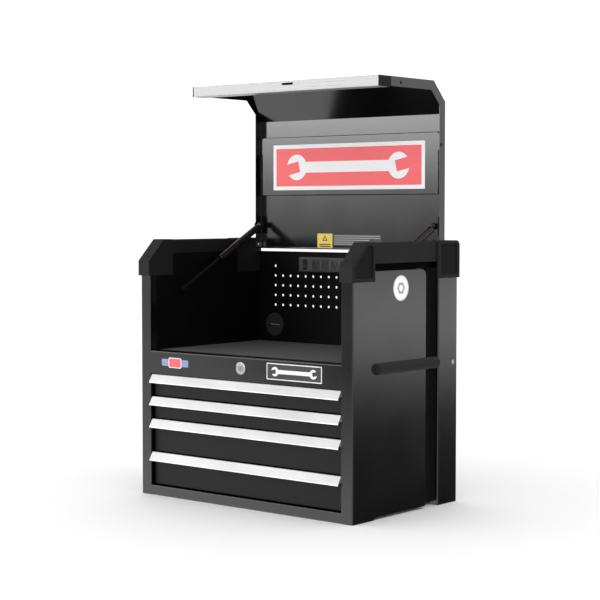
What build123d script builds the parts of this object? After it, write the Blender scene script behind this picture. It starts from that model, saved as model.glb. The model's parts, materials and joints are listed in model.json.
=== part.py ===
"""Top tool chest: four ball-bearing drawers under a lidded compartment.

Millimetres, +Z up, front towards -Y. The origin is on the floor under the middle of the whole
footprint. The chest is modelled as stored: lid open, drawers shut, lock unlocked.
"""
from build123d import *
import math
import os

# ---- driving dimensions -------------------------------------------------------------------
chest_width = 660.0          # over the side panels
chest_depth = 406.0          # front post face to back plane
chest_height = 626.5         # floor to the top of the side rails
sheet = 1.2                  # steel sheet of the case and the lid
drawer_sheet = 1.0           # steel sheet of the drawer boxes
bend = 3.0                   # outside radius of the visible bends

post_width = 32.0            # front post face
post_return = 20.0           # front post flange, turned back beside the drawers
base_gap = 5.8               # side panel edge above the floor between the feet
foot_length = 76.0           # foot along the side
panel_step = 22.0            # height of the pressed side plateau
plateau_drop = 63.5          # plateau upper edge below the side rails
plateau_corner = 16.0        # radius of its upper rear corner
groove_width = 49.0          # plateau to rear post
rear_post_width = 78.5       # rear post, side leg
rear_post_wrap = 45.0        # rear post, back leg
lap = 14.0                   # side web behind the top rail, floor flanges and seams

rail_height = 24.5           # bottom front rail
rail_return = 16.0           # its flanges
drawer_pitches = (81.6, 81.6, 55.1, 55.1)   # lowest drawer first
front_gap = 2.0              # gap above each pull
fascia_height = 56.0         # lock fascia, from the top drawer's gap to the tray floor
ledge_depth = 32.0           # flange of the fascia that forms the front of the tray floor

top_rail_outer = 47.5        # outer leg of the side top rail
top_rail_inner = 33.0        # inner leg
cap_wall = 4.5               # corner cap wall over the side panel
cap_front_wall = 6.0         # corner cap wall over the post face
cap_rear_wall = 4.0          # corner cap wall behind the back plane
cap_lip = 1.5                # corner cap wall over the inner wall
cap_skirt = 88.5             # corner cap height
cap_bevel = 52.0             # 45 degree bevel of the front cap
cap_front_length = 83.0      # front cap along the side
cap_rear_length = 91.0       # rear cap along the side
cap_round = 2.5              # outer edges of the caps
cap_border = 8.0             # rim around the panel pressed into each cap
cap_panel = 3.0              # depth of that panel

pull_reach = 9.0             # drawer pull lip in front of the post face
pull_height = 21.0
pull_wall = 2.4
pull_gap = 2.5               # pull end to post flange
face_recess = 9.5            # drawer face behind the post face
face_depth = 13.0            # folded edge of the drawer face
face_gap = 4.0               # drawer face to post flange
slide_space = 12.7           # side gap taken by a ball-bearing slide
slide_height = 30.0
slide_overlap = 20.0         # slide length left engaged at full travel
slide_rise = 1.0             # slide centre above the middle of its drawer pitch
drawer_back_gap = 30.0       # drawer box back to the back plane
box_floor_gap = 5.0          # drawer box floor above the pull below
box_top_gap = 10.0           # drawer box rim below its own pull top
catch_drop = 19.0            # catch plate behind a drawer, below its pull top
catch_depth = 16.0

lid_gap = 5.5                # lid side to the post flange line
lid_drop = 7.5               # closed lid top below the side rails
lid_rest_gap = 3.1           # closed lid underside above the tray floor
lid_bevel = 48.0             # 45 degree bevel between lid top and lid front
lid_flange = 23.0            # side flange of the lid
lid_rear_flange = 18.0
pivot_inset = 9.5            # lid pivot from the lid's back edge and from its top face
trim_depth = 25.0            # lid handle trim
trim_height = 43.0
trim_wall = 2.0
trim_end = 4.2               # end cap of the trim
plate_margin = 12.5          # tool plate end to lid side
plate_height = 150.0
plate_stand = 8.6            # tool plate face off the lid skin
plate_from_bevel = 70.6      # tool plate to the bend of the lid bevel
plate_tab = 40.0             # welding tab at each end of the tool plate
brace_from_bevel = 26.6      # inner bevel brace, foot on the lid skin
brace_drop = 6.0             # its other foot, below the bend of the lid front

peg_pitch = 25.4             # one inch pegboard grid
peg_hole = 6.4
peg_margin = 50.0            # outermost column to the inner wall, at least
peg_first_gap = 96.9         # lowest row above the tray floor
peg_last_gap = 10.0          # highest full row below the power strip, at least
peg_top_gap = 17.0           # pegboard top flange below the lid pivot
peg_flange = 9.0
grommet_inset = 54.3         # cable grommet from the left inner wall
grommet_rise = 45.1          # and above the tray floor
grommet_diameter = 60.0
grommet_slit = 38.0
grommet_slit_height = 6.0

strip_length = 260.0         # power strip
strip_height = 38.5
strip_depth = 40.0
strip_drop = 51.0            # underside of the strip below the pegboard top
outlet_pitch = 30.0
outlet_count = 6
first_outlet = 58.0          # first outlet from the strip's left end
outlet_half = 12.0
outlet_half_height = 14.0
switch_place = 22.0          # rocker from the strip's left end
switch_half_width = 6.8
switch_half = 10.4           # half height of the rocker
switch_tilt = 13.0           # angle between its two positions

grip_radius = 13.2           # side handle
grip_length = 233.0
grip_stand = 28.0            # grip axis off the side panel
grip_shift = 23.0            # grip middle behind the middle of the plateau
grip_drop = 9.9              # grip axis below the tray floor
grip_overhang = 60.0         # bracket from each end of the grip
bracket_radius = 7.5
bracket_foot = 9.5
bracket_plate = 4.0

lock_rise = 30.1             # lock above the foot of the fascia
lock_rose = 14.5             # lock rose radius
lock_body = 9.5
lock_depth = 22.0            # lock barrel behind the post face
plug_radius = 6.0
hook_play = 0.8              # lid hook above the trim wall that it holds
hook_width = 4.2
hook_sweep = 62.0            # arc of the hook
hook_tip = 38.0              # its end beyond horizontal when locked
hook_plane = 7.0             # hook centre plane behind the post face
hook_thickness = 3.0
lock_turn = 90.0
crank_radius = 10.0          # rear crank that lifts the drawer lock bar
crank_pin = 2.5
rod_radius = 4.0
pin_play = 0.5
lock_bar_gap = 20.0          # drawer lock bar behind the drawer boxes
lock_bar_sheet = 2.0
finger_play = 5.0            # lock bar finger below a catch plate when unlocked

strut_inset = 15.5           # gas strut to lid side
strut_low_back = 298.1       # case ball in front of the lid pivot
strut_low_drop = 102.5       # and below it
strut_high_out = 51.0        # lid ball from the pivot along the open lid
strut_high_in = 11.5         # lid ball from the pivot towards the front
cylinder_radius = 9.0
cylinder_length = 163.0
strut_rod_radius = 4.5
socket_radius = 8.0
socket_width = 13.0
stud_radius = 4.0
stud_clear = 0.5
hinge_pin_radius = 4.0
running_clear = 0.06         # radial clearance of hinge pins and strut rods
lid_screw_radius = 4.0
case_screw_radius = 5.5

# ---- places worked out from them ----------------------------------------------------------
front_y = -(chest_depth + pull_reach + cap_rear_wall) / 2 + pull_reach
back_y = front_y + chest_depth
side_x = chest_width / 2
inner_x = side_x - post_width
recess_x = side_x - panel_step
face_y = front_y + face_recess
panel_y = back_y - 2 * sheet             # inner face of the back panels
wall_y = front_y + post_return           # front edge of the inner walls
plateau_y = back_y - rear_post_width - groove_width
plateau_top = chest_height - plateau_drop
opening_top = rail_height + sum(drawer_pitches)
fascia_z = opening_top + front_gap
ledge_z = fascia_z + fascia_height
drawer_back = back_y - drawer_back_gap
slide_y = face_y + face_depth + 1.5      # front end of the slides
slide_length = drawer_back - 2 - slide_y
drawer_travel = slide_length - slide_overlap

cap_top = chest_height + 1.0
cap_base = cap_top - cap_skirt
rail_front_y = front_y - cap_front_wall + cap_front_length
rail_back_y = back_y + cap_rear_wall - cap_rear_length

lid_x = inner_x - lid_gap
lid_back = back_y - 0.4
lid_top = chest_height - lid_drop
lid_bottom = ledge_z + lid_rest_gap
pivot_y = lid_back - pivot_inset
pivot_z = lid_top - pivot_inset
bevel_y = front_y + lid_bevel
bevel_z = lid_top - lid_bevel
plate_y0 = bevel_y + plate_from_bevel
plate_y1 = plate_y0 + plate_height
plate_z = lid_top - sheet - plate_stand

peg_top = pivot_z - peg_top_gap
strip_z = peg_top - strip_drop
strip_y = panel_y - strip_depth
switch_x = switch_place - strip_length / 2
peg_first_row = ledge_z + peg_first_gap
peg_columns = int(2 * (inner_x - peg_margin) / peg_pitch) + 1
peg_rows = int((strip_z - peg_last_gap - peg_first_row) / peg_pitch) + 1
grommet_x = grommet_inset - inner_x
grommet_z = ledge_z + grommet_rise

grip_x = side_x + grip_stand
grip_y = (front_y + plateau_y) / 2 + grip_shift
grip_z = ledge_z - grip_drop
lock_z = fascia_z + lock_rise
hook_y = front_y + hook_plane
hook_inner = lid_bottom + trim_wall + hook_play - lock_z
hook_outer = hook_inner + hook_width
lock_bar_y = drawer_back + lock_bar_gap
strut_x = lid_x - strut_inset
strut_low_y = pivot_y - strut_low_back
strut_low_z = pivot_z - strut_low_drop

nodes = {}


# ---- small helpers ------------------------------------------------------------------------
def slab(x0, x1, y0, y1, z0, z1):
    """Box between two corners."""
    centre = ((x0 + x1) / 2, (y0 + y1) / 2, (z0 + z1) / 2)
    return Pos(*centre) * Box(abs(x1 - x0), abs(y1 - y0), abs(z1 - z0))


def side_plate(points, x0, x1, radius=0.0):
    """Outline in (y, z) extruded from x0 to x1, with its corners rounded."""
    outline = make_face(Polyline(*points, close=True))
    if radius:
        outline = fillet(outline.vertices(), radius)
    return Pos(x0, 0, 0) * extrude(Plane.YZ * outline, amount=x1 - x0)


def bent_sheet(points, thickness, radius):
    """Constant-thickness strip along a bent centre line."""
    return trace(FilletPolyline(*points, radius=radius), line_width=thickness)


def plan_sheet(points, z0, z1, thickness=sheet, radius=bend):
    """Bent sheet whose section lies in (x, y)."""
    return Pos(0, 0, z0) * extrude(bent_sheet(points, thickness, radius), amount=z1 - z0)


def long_sheet(points, x0, x1, thickness=sheet, radius=bend):
    """Bent sheet whose section lies in (y, z)."""
    section = Plane.YZ * bent_sheet(points, thickness, radius)
    return Pos(x0, 0, 0) * extrude(section, amount=x1 - x0)


def deep_sheet(points, y0, y1, thickness=sheet, radius=bend):
    """Bent sheet whose section lies in (x, z)."""
    plane = Plane(origin=(0, y0, 0), x_dir=(-1, 0, 0), z_dir=(0, 1, 0))
    flipped = [(-x, z) for x, z in points]
    return extrude(plane * bent_sheet(flipped, thickness, radius), amount=y1 - y0)


def bar(start, end, radius):
    """Round bar between two points."""
    a = Vector(*start)
    span = Vector(*end) - a
    return extrude(Plane(origin=a, z_dir=span) * Circle(radius), amount=span.length)


def both(shape):
    """The shape and its mirror image across the middle plane."""
    return [shape, mirror(shape, about=Plane.YZ)]


def open_lid(shape):
    """Swing a closed-lid shape up about the lid pivot."""
    hinge = Axis((0, pivot_y, pivot_z), (1, 0, 0))
    return shape.rotate(hinge, -90)


def put(name, *shapes):
    """File the separate solids of one sub-part under its name."""
    solids = []
    for shape in shapes:
        solids.extend(shape.solids())
    nodes[name] = solids


# ---- case ---------------------------------------------------------------------------------
def side_panel():
    """Right side panel: front post face, pressed plateau, recessed web and feet."""
    outer = slab(recess_x - sheet, side_x, front_y, plateau_y, 0, plateau_top)
    rear_edge = outer.edges().filter_by(Axis.X).sort_by(Axis.Z)[-2:].sort_by(Axis.Y)[-1]
    outer = fillet(rear_edge, plateau_corner)
    rim = outer.faces().sort_by(Axis.X)[-1].edges()
    outer = fillet([e for e in rim if e.center().Z > 1], bend)
    hollow = slab(0, side_x - sheet, front_y + sheet, plateau_y - sheet, -1, plateau_top - sheet)
    panel = outer - hollow
    panel += slab(inner_x, side_x - bend, front_y, front_y + sheet, 0, plateau_top)
    panel += slab(inner_x, inner_x + sheet, front_y, wall_y, 0, plateau_top)
    web_top = chest_height - top_rail_outer + lap
    web = slab(recess_x - sheet, recess_x, wall_y, back_y - 6, base_gap, web_top)
    web -= slab(0, chest_width, wall_y - 1, plateau_y - sheet, 0, plateau_top - sheet)
    panel += web
    foot_end = front_y + foot_length
    notch = [(foot_end, -1), (foot_end, 0), (foot_end + base_gap, base_gap),
             (plateau_y + 1, base_gap), (plateau_y + 1, -1)]
    panel -= side_plate(notch, recess_x - 2 * sheet, side_x + 1)
    return panel


def rear_post():
    """Right rear post: channel around the back corner."""
    half = sheet / 2
    front = back_y - rear_post_width
    points = [(recess_x, front + half), (side_x - half, front + half),
              (side_x - half, back_y - half), (side_x - rear_post_wrap, back_y - half)]
    top = cap_base + cap_skirt / 2
    post = plan_sheet(points, 0, top)
    return post - slab(0, inner_x, back_y - 5, back_y + 1, cap_base, top + 1)


def corner_cap_front():
    """Right front corner cap with its bevel and the pressed panel on its side."""
    front = front_y - cap_front_wall
    outline = [(front, cap_base), (front, cap_top - cap_bevel), (front + cap_bevel, cap_top),
               (rail_front_y, cap_top), (rail_front_y, cap_base)]
    cap = side_plate(outline, inner_x - cap_lip, side_x + cap_wall)
    rim = cap.faces().sort_by(Axis.X)[-1].edges()
    cap = fillet([e for e in rim if e.center().Z > cap_base + 1], cap_round)
    wall = cap_wall
    shift = wall * (math.sqrt(2) - 1)
    inside = [(front_y, cap_base - 1), (front_y, cap_top - cap_bevel - shift),
              (front_y + cap_bevel - wall + shift, cap_top - wall),
              (rail_front_y + 1, cap_top - wall), (rail_front_y + 1, cap_base - 1)]
    cap -= side_plate(inside, inner_x, side_x)
    rim = cap_border
    recess = [(front + rim, cap_base + rim), (front + rim, cap_top - cap_bevel - rim / 4),
              (front + cap_bevel + rim / 4, cap_top - rim), (rail_front_y - rim, cap_top - rim),
              (rail_front_y - rim, cap_base + rim)]
    outside = side_x + cap_wall
    cap -= side_plate(recess, outside - cap_panel, outside + 1, 3)
    return cap


def corner_cap_rear():
    """Right rear corner cap, bored for the lid hinge pin."""
    corner = 12.0
    outer = slab(inner_x - cap_lip, side_x + cap_wall, rail_back_y, back_y + cap_rear_wall,
                 cap_base, cap_top)
    top_edge = outer.edges().filter_by(Axis.X).sort_by(Axis.Z)[-2:].sort_by(Axis.Y)[-1]
    cap = fillet(top_edge, corner)
    rim = cap.faces().sort_by(Axis.X)[-1].edges()
    cap = fillet([e for e in rim if e.center().Z > cap_base + 1], cap_round)
    cavity = slab(inner_x, side_x, rail_back_y - 1, back_y, cap_base - 1, cap_top - cap_wall)
    cavity_edge = cavity.edges().filter_by(Axis.X).sort_by(Axis.Z)[-2:].sort_by(Axis.Y)[-1]
    cap -= fillet(cavity_edge, corner - cap_rear_wall)
    outside = side_x + cap_wall
    recess = slab(outside - cap_panel, outside + 1, rail_back_y + corner,
                  back_y + cap_rear_wall - corner, cap_base + cap_border, cap_top - cap_border)
    cap -= fillet(recess.edges().filter_by(Axis.X), 4)
    bore = bar((inner_x - 5, pivot_y, pivot_z), (inner_x + 1, pivot_y, pivot_z),
               hinge_pin_radius + running_clear)
    return cap - bore


def build_case():
    left_right = both(side_panel())
    put("right_side_panel", left_right[0])
    put("left_side_panel", left_right[1])
    put("rear_posts", *both(rear_post()))
    wall_top = cap_top - cap_wall - 30
    wall = slab(inner_x, inner_x + sheet, wall_y, panel_y, base_gap, wall_top)
    put("inner_walls", *both(wall))
    half = sheet / 2

    back_edge = recess_x - sheet
    back = slab(-back_edge, back_edge, panel_y, panel_y + sheet, base_gap, ledge_z - 8)
    put("back_panel", back)

    half_width = inner_x - cap_lip
    peg = slab(-half_width, half_width, panel_y, panel_y + sheet, ledge_z - 8, peg_top)
    peg += slab(-half_width, half_width, panel_y - peg_flange, panel_y + sheet,
                peg_top - sheet, peg_top)
    holes = []
    for column in range(peg_columns):
        x = (column - (peg_columns - 1) / 2) * peg_pitch
        rows = list(range(peg_rows))
        if column in (0, peg_columns - 1):
            rows.append(peg_rows)
        for row in rows:
            place = Location((x, panel_y - 1, peg_first_row + row * peg_pitch), (-90, 0, 0))
            holes.append(place * Cylinder(peg_hole / 2, 8))
    port = Location((grommet_x, panel_y, grommet_z), (90, 0, 0))
    holes.append(port * Cylinder(grommet_diameter / 2 - 3, 10))
    put("pegboard_panel", peg - holes)

    rail_y = front_y + rail_return
    bottom = slab(-inner_x, inner_x, rail_y, panel_y, base_gap, base_gap + sheet)
    bottom += slab(-inner_x, -inner_x + sheet, wall_y, panel_y, base_gap, base_gap + lap)
    bottom += slab(inner_x - sheet, inner_x, wall_y, panel_y, base_gap, base_gap + lap)
    put("bottom_panel", bottom)

    rail = [(rail_y, half), (front_y + half, half), (front_y + half, rail_height - half),
            (rail_y, rail_height - half)]
    put("bottom_front_rail", long_sheet(rail, -inner_x, inner_x, radius=1.5))

    fascia = [(front_y + half, fascia_z), (front_y + half, ledge_z - half),
              (front_y + ledge_depth, ledge_z - half)]
    panel = long_sheet(fascia, -inner_x, inner_x, radius=2.0)
    bore = bar((0, front_y - 1, lock_z), (0, front_y + 3, lock_z), lock_body)
    slot = slab(-14, 30, hook_y - 2.7, hook_y + 2.7, ledge_z - 5, ledge_z + 5)
    put("lock_fascia", panel - bore - slot)

    floor = slab(-inner_x, inner_x, front_y + ledge_depth, panel_y, ledge_z - sheet, ledge_z)
    put("tray_floor", floor)

    top = chest_height - half
    points = [(inner_x + half, top - top_rail_inner + half), (inner_x + half, top),
              (side_x - half, top), (side_x - half, top - top_rail_outer + half)]
    rail = deep_sheet(points, rail_front_y, rail_back_y, radius=4.0)
    put("top_rails", *both(rail))
    put("front_corner_caps", *both(corner_cap_front()))
    put("rear_corner_caps", *both(corner_cap_rear()))


# ---- side handles -------------------------------------------------------------------------
def build_handles():
    half = grip_length / 2
    grip = bar((grip_x, grip_y - half, grip_z), (grip_x, grip_y + half, grip_z), grip_radius)
    grip = fillet(grip.edges(), 3)
    brackets = []
    for end in (-1, 1):
        y = grip_y + end * (half - grip_overhang)
        foot = bar((side_x, y, grip_z), (side_x + bracket_plate, y, grip_z), bracket_foot)
        foot = fillet(foot.edges().sort_by(Axis.X)[-1], 1.5)
        arm = bar((side_x, y, grip_z), (grip_x, y, grip_z), bracket_radius)
        brackets.append(foot + arm)
        grip -= arm
    put("side_handle_grips", *both(grip))
    put("handle_brackets", *both(brackets[0]), *both(brackets[1]))


# ---- drawers ------------------------------------------------------------------------------
def slide_members(z):
    """Right-hand slide at height z: outer, intermediate and inner member."""
    half = slide_height / 2
    y0 = slide_y
    y1 = y0 + slide_length
    box_x = inner_x - slide_space
    outer = slab(inner_x - sheet, inner_x, y0, y1, z - half, z + half)
    for edge in (-1, 1):
        lip = z + edge * (half - sheet / 2)
        outer += slab(inner_x - 6.5, inner_x, y0, y1, lip - sheet / 2, lip + sheet / 2)
    middle = slab(inner_x - 5.0, inner_x - 2.4, y0 + 4, y1 - 16, z - half + 2.4, z + half - 2.4)
    inner = slab(box_x, box_x + sheet, y0, y1, z - half + 6, z + half - 6)
    for edge in (-1, 1):
        lip = z + edge * (half - 6 - sheet / 2)
        inner += slab(box_x, inner_x - 5.8, y0, y1, lip - sheet / 2, lip + sheet / 2)
    return outer, middle, inner


def pull(top):
    """Aluminium drawer pull with its sloping face and finger lip."""
    wall = pull_wall
    tip = front_y - pull_reach
    lip = top - pull_height
    inner = face_y - wall
    points = [(front_y + wall, top), (tip, lip + wall), (tip, lip), (tip + wall, lip),
              (front_y + 3.4, top - 3.2), (inner, top - 3.2), (inner, top - 15),
              (face_y, top - 15), (face_y, top)]
    half = inner_x - pull_gap
    return side_plate(points, -half, half, 0.45)


def hook_tab(z):
    """Catch plate behind a drawer box, slotted for the lock bar finger."""
    tab = slab(-14, 14, drawer_back - drawer_sheet, drawer_back + catch_depth, z, z + 2)
    tab -= slab(-5.5, 5.5, drawer_back + 4.5, drawer_back + 11.5, z - 1, z + 3)
    return tab


def drawer_box(bottom, top, tab_z):
    """Folded tub with its catch plate."""
    x = inner_x - slide_space
    y0 = face_y + sheet
    tub = slab(-x, x, y0, drawer_back, bottom, top)
    tub -= slab(-x + drawer_sheet, x - drawer_sheet, y0 + drawer_sheet,
                drawer_back - drawer_sheet, bottom + drawer_sheet, top + 1)
    return tub + hook_tab(tab_z)


def drawer_front(bottom, top):
    """Shallow pan that forms the drawer face."""
    x = inner_x - face_gap
    pan = slab(-x, x, face_y, face_y + face_depth, bottom, top)
    rim = pan.faces().sort_by(Axis.Y)[0].edges()
    pan = fillet(rim, 1.5)
    return pan - slab(-x + sheet, x - sheet, face_y + sheet, face_y + face_depth + 1,
                      bottom + sheet, top - sheet)


def finger_levels():
    """Height of each drawer's catch plate, lowest drawer first."""
    level = rail_height
    heights = []
    for pitch in drawer_pitches:
        heights.append(level + pitch - catch_drop)
        level += pitch
    return heights


def build_drawers():
    outers = []
    level = rail_height
    tabs = finger_levels()
    count = len(drawer_pitches)
    for index, pitch in enumerate(drawer_pitches):
        number = count - index
        top = level + pitch
        outer, middle, inner = slide_members(level + pitch / 2 + slide_rise)
        outers += both(outer)
        put(f"drawer_{number}_slide_middles", *both(middle))
        put(f"drawer_{number}_slide_inners", *both(inner))
        put(f"drawer_{number}_box", drawer_box(level + box_floor_gap, top - box_top_gap,
                                               tabs[index]))
        put(f"drawer_{number}_front", drawer_front(level + front_gap, top - 3.2))
        put(f"drawer_{number}_pull", pull(top))
        level = top
    put("slide_outer_members", *outers)


# ---- lock ---------------------------------------------------------------------------------
def arc_plate(inner, outer, start, end, y0, y1):
    """Ring sector about the lock axis; angles from +X towards +Z."""
    plane = Plane(origin=(0, y0, lock_z), x_dir=(-1, 0, 0), z_dir=(0, 1, 0))
    low = math.radians(180 - end)
    high = math.radians(180 - start)
    middle = (low + high) / 2

    def at(radius, angle):
        return (radius * math.cos(angle), radius * math.sin(angle))

    edge = ThreePointArc(at(outer, low), at(outer, middle), at(outer, high))
    edge += Line(at(outer, high), at(inner, high))
    edge += ThreePointArc(at(inner, high), at(inner, middle), at(inner, low))
    edge += Line(at(inner, low), at(outer, low))
    return extrude(plane * make_face(edge), amount=y1 - y0)


def build_lock():
    tail = front_y + lock_depth
    barrel = bar((0, front_y - 3.5, lock_z), (0, front_y, lock_z), lock_rose)
    barrel = fillet(barrel.edges().sort_by(Axis.Y)[0], 1.5)
    barrel += bar((0, front_y, lock_z), (0, tail, lock_z), lock_body)
    bore = plug_radius + running_clear
    barrel -= bar((0, front_y - 5, lock_z), (0, tail + 1, lock_z), bore)
    nut = extrude(Plane(origin=(0, front_y + sheet, lock_z), z_dir=(0, 1, 0))
                  * RegularPolygon(13, 6), amount=3.5)
    nut -= bar((0, front_y, lock_z), (0, front_y + 9, lock_z), lock_body)
    put("lock_barrel", barrel, nut)

    plug = bar((0, front_y - 4.5, lock_z), (0, tail + 1, lock_z), plug_radius)
    keyway = slab(-0.8, 0.8, front_y - 6, front_y + 12, lock_z - 3.6, lock_z + 3.6)
    put("lock_plug", plug - keyway)

    arm_y0 = tail + 1
    arm_y1 = arm_y0 + hook_thickness
    base = hook_tip - lock_turn
    side = hook_thickness / 2
    hook = arc_plate(hook_inner, hook_outer, base, base + 3.5, hook_y - side, arm_y1)
    hook += arc_plate(hook_inner, hook_outer, base, base + hook_sweep, hook_y - side,
                      hook_y + side)
    hook += arc_plate(4.0, hook_outer, base - 4, base + 3.5, arm_y0, arm_y1)
    hook += bar((0, arm_y0, lock_z), (0, arm_y1, lock_z), 10)
    put("lid_hook", hook)

    bar_y = lock_bar_y
    rod = bar((0, arm_y1, lock_z), (0, bar_y - 2, lock_z), rod_radius)
    angle = math.radians(-lock_turn / 2)
    pin_x = crank_radius * math.cos(angle)
    pin_z = lock_z + crank_radius * math.sin(angle)
    crank = bar((0, bar_y - 5, lock_z), (0, bar_y - 2, lock_z), 7)
    crank += bar((pin_x, bar_y - 5, pin_z), (pin_x, bar_y - 2, pin_z), 5)
    crank += bar((pin_x, bar_y - 2, pin_z), (pin_x, bar_y + 4, pin_z), crank_pin)
    middle = Pos(pin_x / 2, 0, (pin_z + lock_z) / 2)
    web = Box(crank_radius, 3, 9).rotate(Axis.Y, lock_turn / 2)
    crank += middle * Pos(0, bar_y - 3.5, 0) * web
    put("lock_torque_rod", rod + crank)

    lift = 2 * crank_radius * math.sin(math.radians(lock_turn / 2))
    thick = lock_bar_sheet
    strip = slab(-10, 10, bar_y, bar_y + thick, rail_height + 12, lock_z - 12)
    strip += slab(-10, 20, bar_y, bar_y + thick, lock_z - 24, lock_z + 8)
    for level in finger_levels():
        arm = level - lift - finger_play
        strip += slab(-3, 3, drawer_back + 6, bar_y, arm - thick, arm)
        strip += slab(-3, 3, drawer_back + 6, drawer_back + 10, arm - thick, level - thick)
    slot_x0 = pin_x - crank_pin - pin_play
    slot_x1 = crank_radius + crank_pin + pin_play
    reach = crank_pin + pin_play
    strip -= slab(slot_x0, slot_x1, bar_y - 1, bar_y + 3, pin_z - reach, pin_z + reach)
    put("drawer_lock_bar", strip)

    guides = []
    levels = finger_levels()
    for z in (levels[0] + 20, levels[-1] + 10):
        guide = slab(-18, 18, bar_y - 2.2, panel_y, z, z + 12)
        guides.append(guide - slab(-10.6, 10.6, bar_y - 0.6, bar_y + 2.6, z - 1, z + 13))
    stand = slab(-11, 11, tail + 12, tail + 15, lock_z - 12, ledge_z - sheet)
    stand -= bar((0, tail + 11, lock_z), (0, tail + 16, lock_z), rod_radius + running_clear)
    put("lock_guides", *guides, stand)


# ---- power strip and grommet --------------------------------------------------------------
def outlet_face(x, y0, middle):
    """Outlet insert with two blade slots and a round earth hole."""
    face = slab(x - outlet_half, x + outlet_half, y0 + 0.8, y0 + 3,
                middle - outlet_half_height, middle + outlet_half_height)
    face -= slab(x - 7.2, x - 5.2, y0, y0 + 2.6, middle - 1, middle + 8)
    face -= slab(x + 5.2, x + 7.2, y0, y0 + 2.6, middle, middle + 8)
    return face - bar((x, y0, middle - 6.5), (x, y0 + 2.6, middle - 6.5), 2.6)


def build_power():
    half = strip_length / 2
    y0 = strip_y
    top = strip_z + strip_height
    middle = strip_z + strip_height / 2
    housing = slab(-half, half, y0, panel_y, strip_z, top)
    front_edges = housing.edges().filter_by(Axis.X).sort_by(Axis.Y)[:2]
    housing = fillet(front_edges, 4)
    pocket = switch_half + 2.6
    pocket_side = switch_half_width + 0.7
    housing -= slab(switch_x - pocket_side, switch_x + pocket_side, y0 - 1, y0 + 14,
                    middle - pocket, middle + pocket)
    outlets = []
    for index in range(outlet_count):
        x = first_outlet - half + index * outlet_pitch
        housing -= slab(x - outlet_half, x + outlet_half, y0 - 1, y0 + 3,
                        middle - outlet_half_height, middle + outlet_half_height)
        outlets.append(outlet_face(x, y0, middle))
    for end in (-1, 1):
        housing -= slab(end * half, end * (half - 3), y0 - 1, y0 + 2, strip_z - 1, top + 1)
    put("power_strip_housing", housing)
    put("power_strip_outlets", *outlets)

    lean = switch_half * math.tan(math.radians(switch_tilt))
    crest = y0 - 0.3
    profile = [(crest, middle), (crest - lean, middle + switch_half),
               (y0 + 5, middle + switch_half), (y0 + 9, middle),
               (y0 + 5, middle - switch_half), (crest, middle - switch_half)]
    rocker = side_plate(profile, switch_x - switch_half_width, switch_x + switch_half_width, 0.6)
    put("power_strip_switch", rocker)


def build_grommet():
    radius = grommet_diameter / 2
    ring = bar((grommet_x, panel_y - 2.5, grommet_z), (grommet_x, panel_y, grommet_z), radius)
    ring = fillet(ring.edges().sort_by(Axis.Y)[0], 1.5)
    ring += bar((grommet_x, panel_y, grommet_z), (grommet_x, panel_y + 4, grommet_z), radius - 3)
    side = grommet_slit / 2
    rise = grommet_slit_height / 2
    ring -= slab(grommet_x - side, grommet_x + side, panel_y - 5, panel_y + 6,
                 grommet_z - rise, grommet_z + rise)
    put("cable_grommet", ring)


# ---- lid ----------------------------------------------------------------------------------
def lid_brace():
    """Flat sheet across the inside of the lid bevel, from the lid skin to the lid front."""
    top = lid_top - sheet
    front = front_y + sheet
    foot_y = bevel_y + brace_from_bevel
    foot_z = bevel_z - brace_drop
    run = foot_y - front
    fall = top - foot_z
    slope = math.hypot(run, fall)
    outline = [(foot_y, top), (foot_y + sheet * slope / fall, top),
               (front, foot_z - sheet * slope / run), (front, foot_z)]
    return side_plate(outline, sheet - lid_x, lid_x - sheet)


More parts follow.
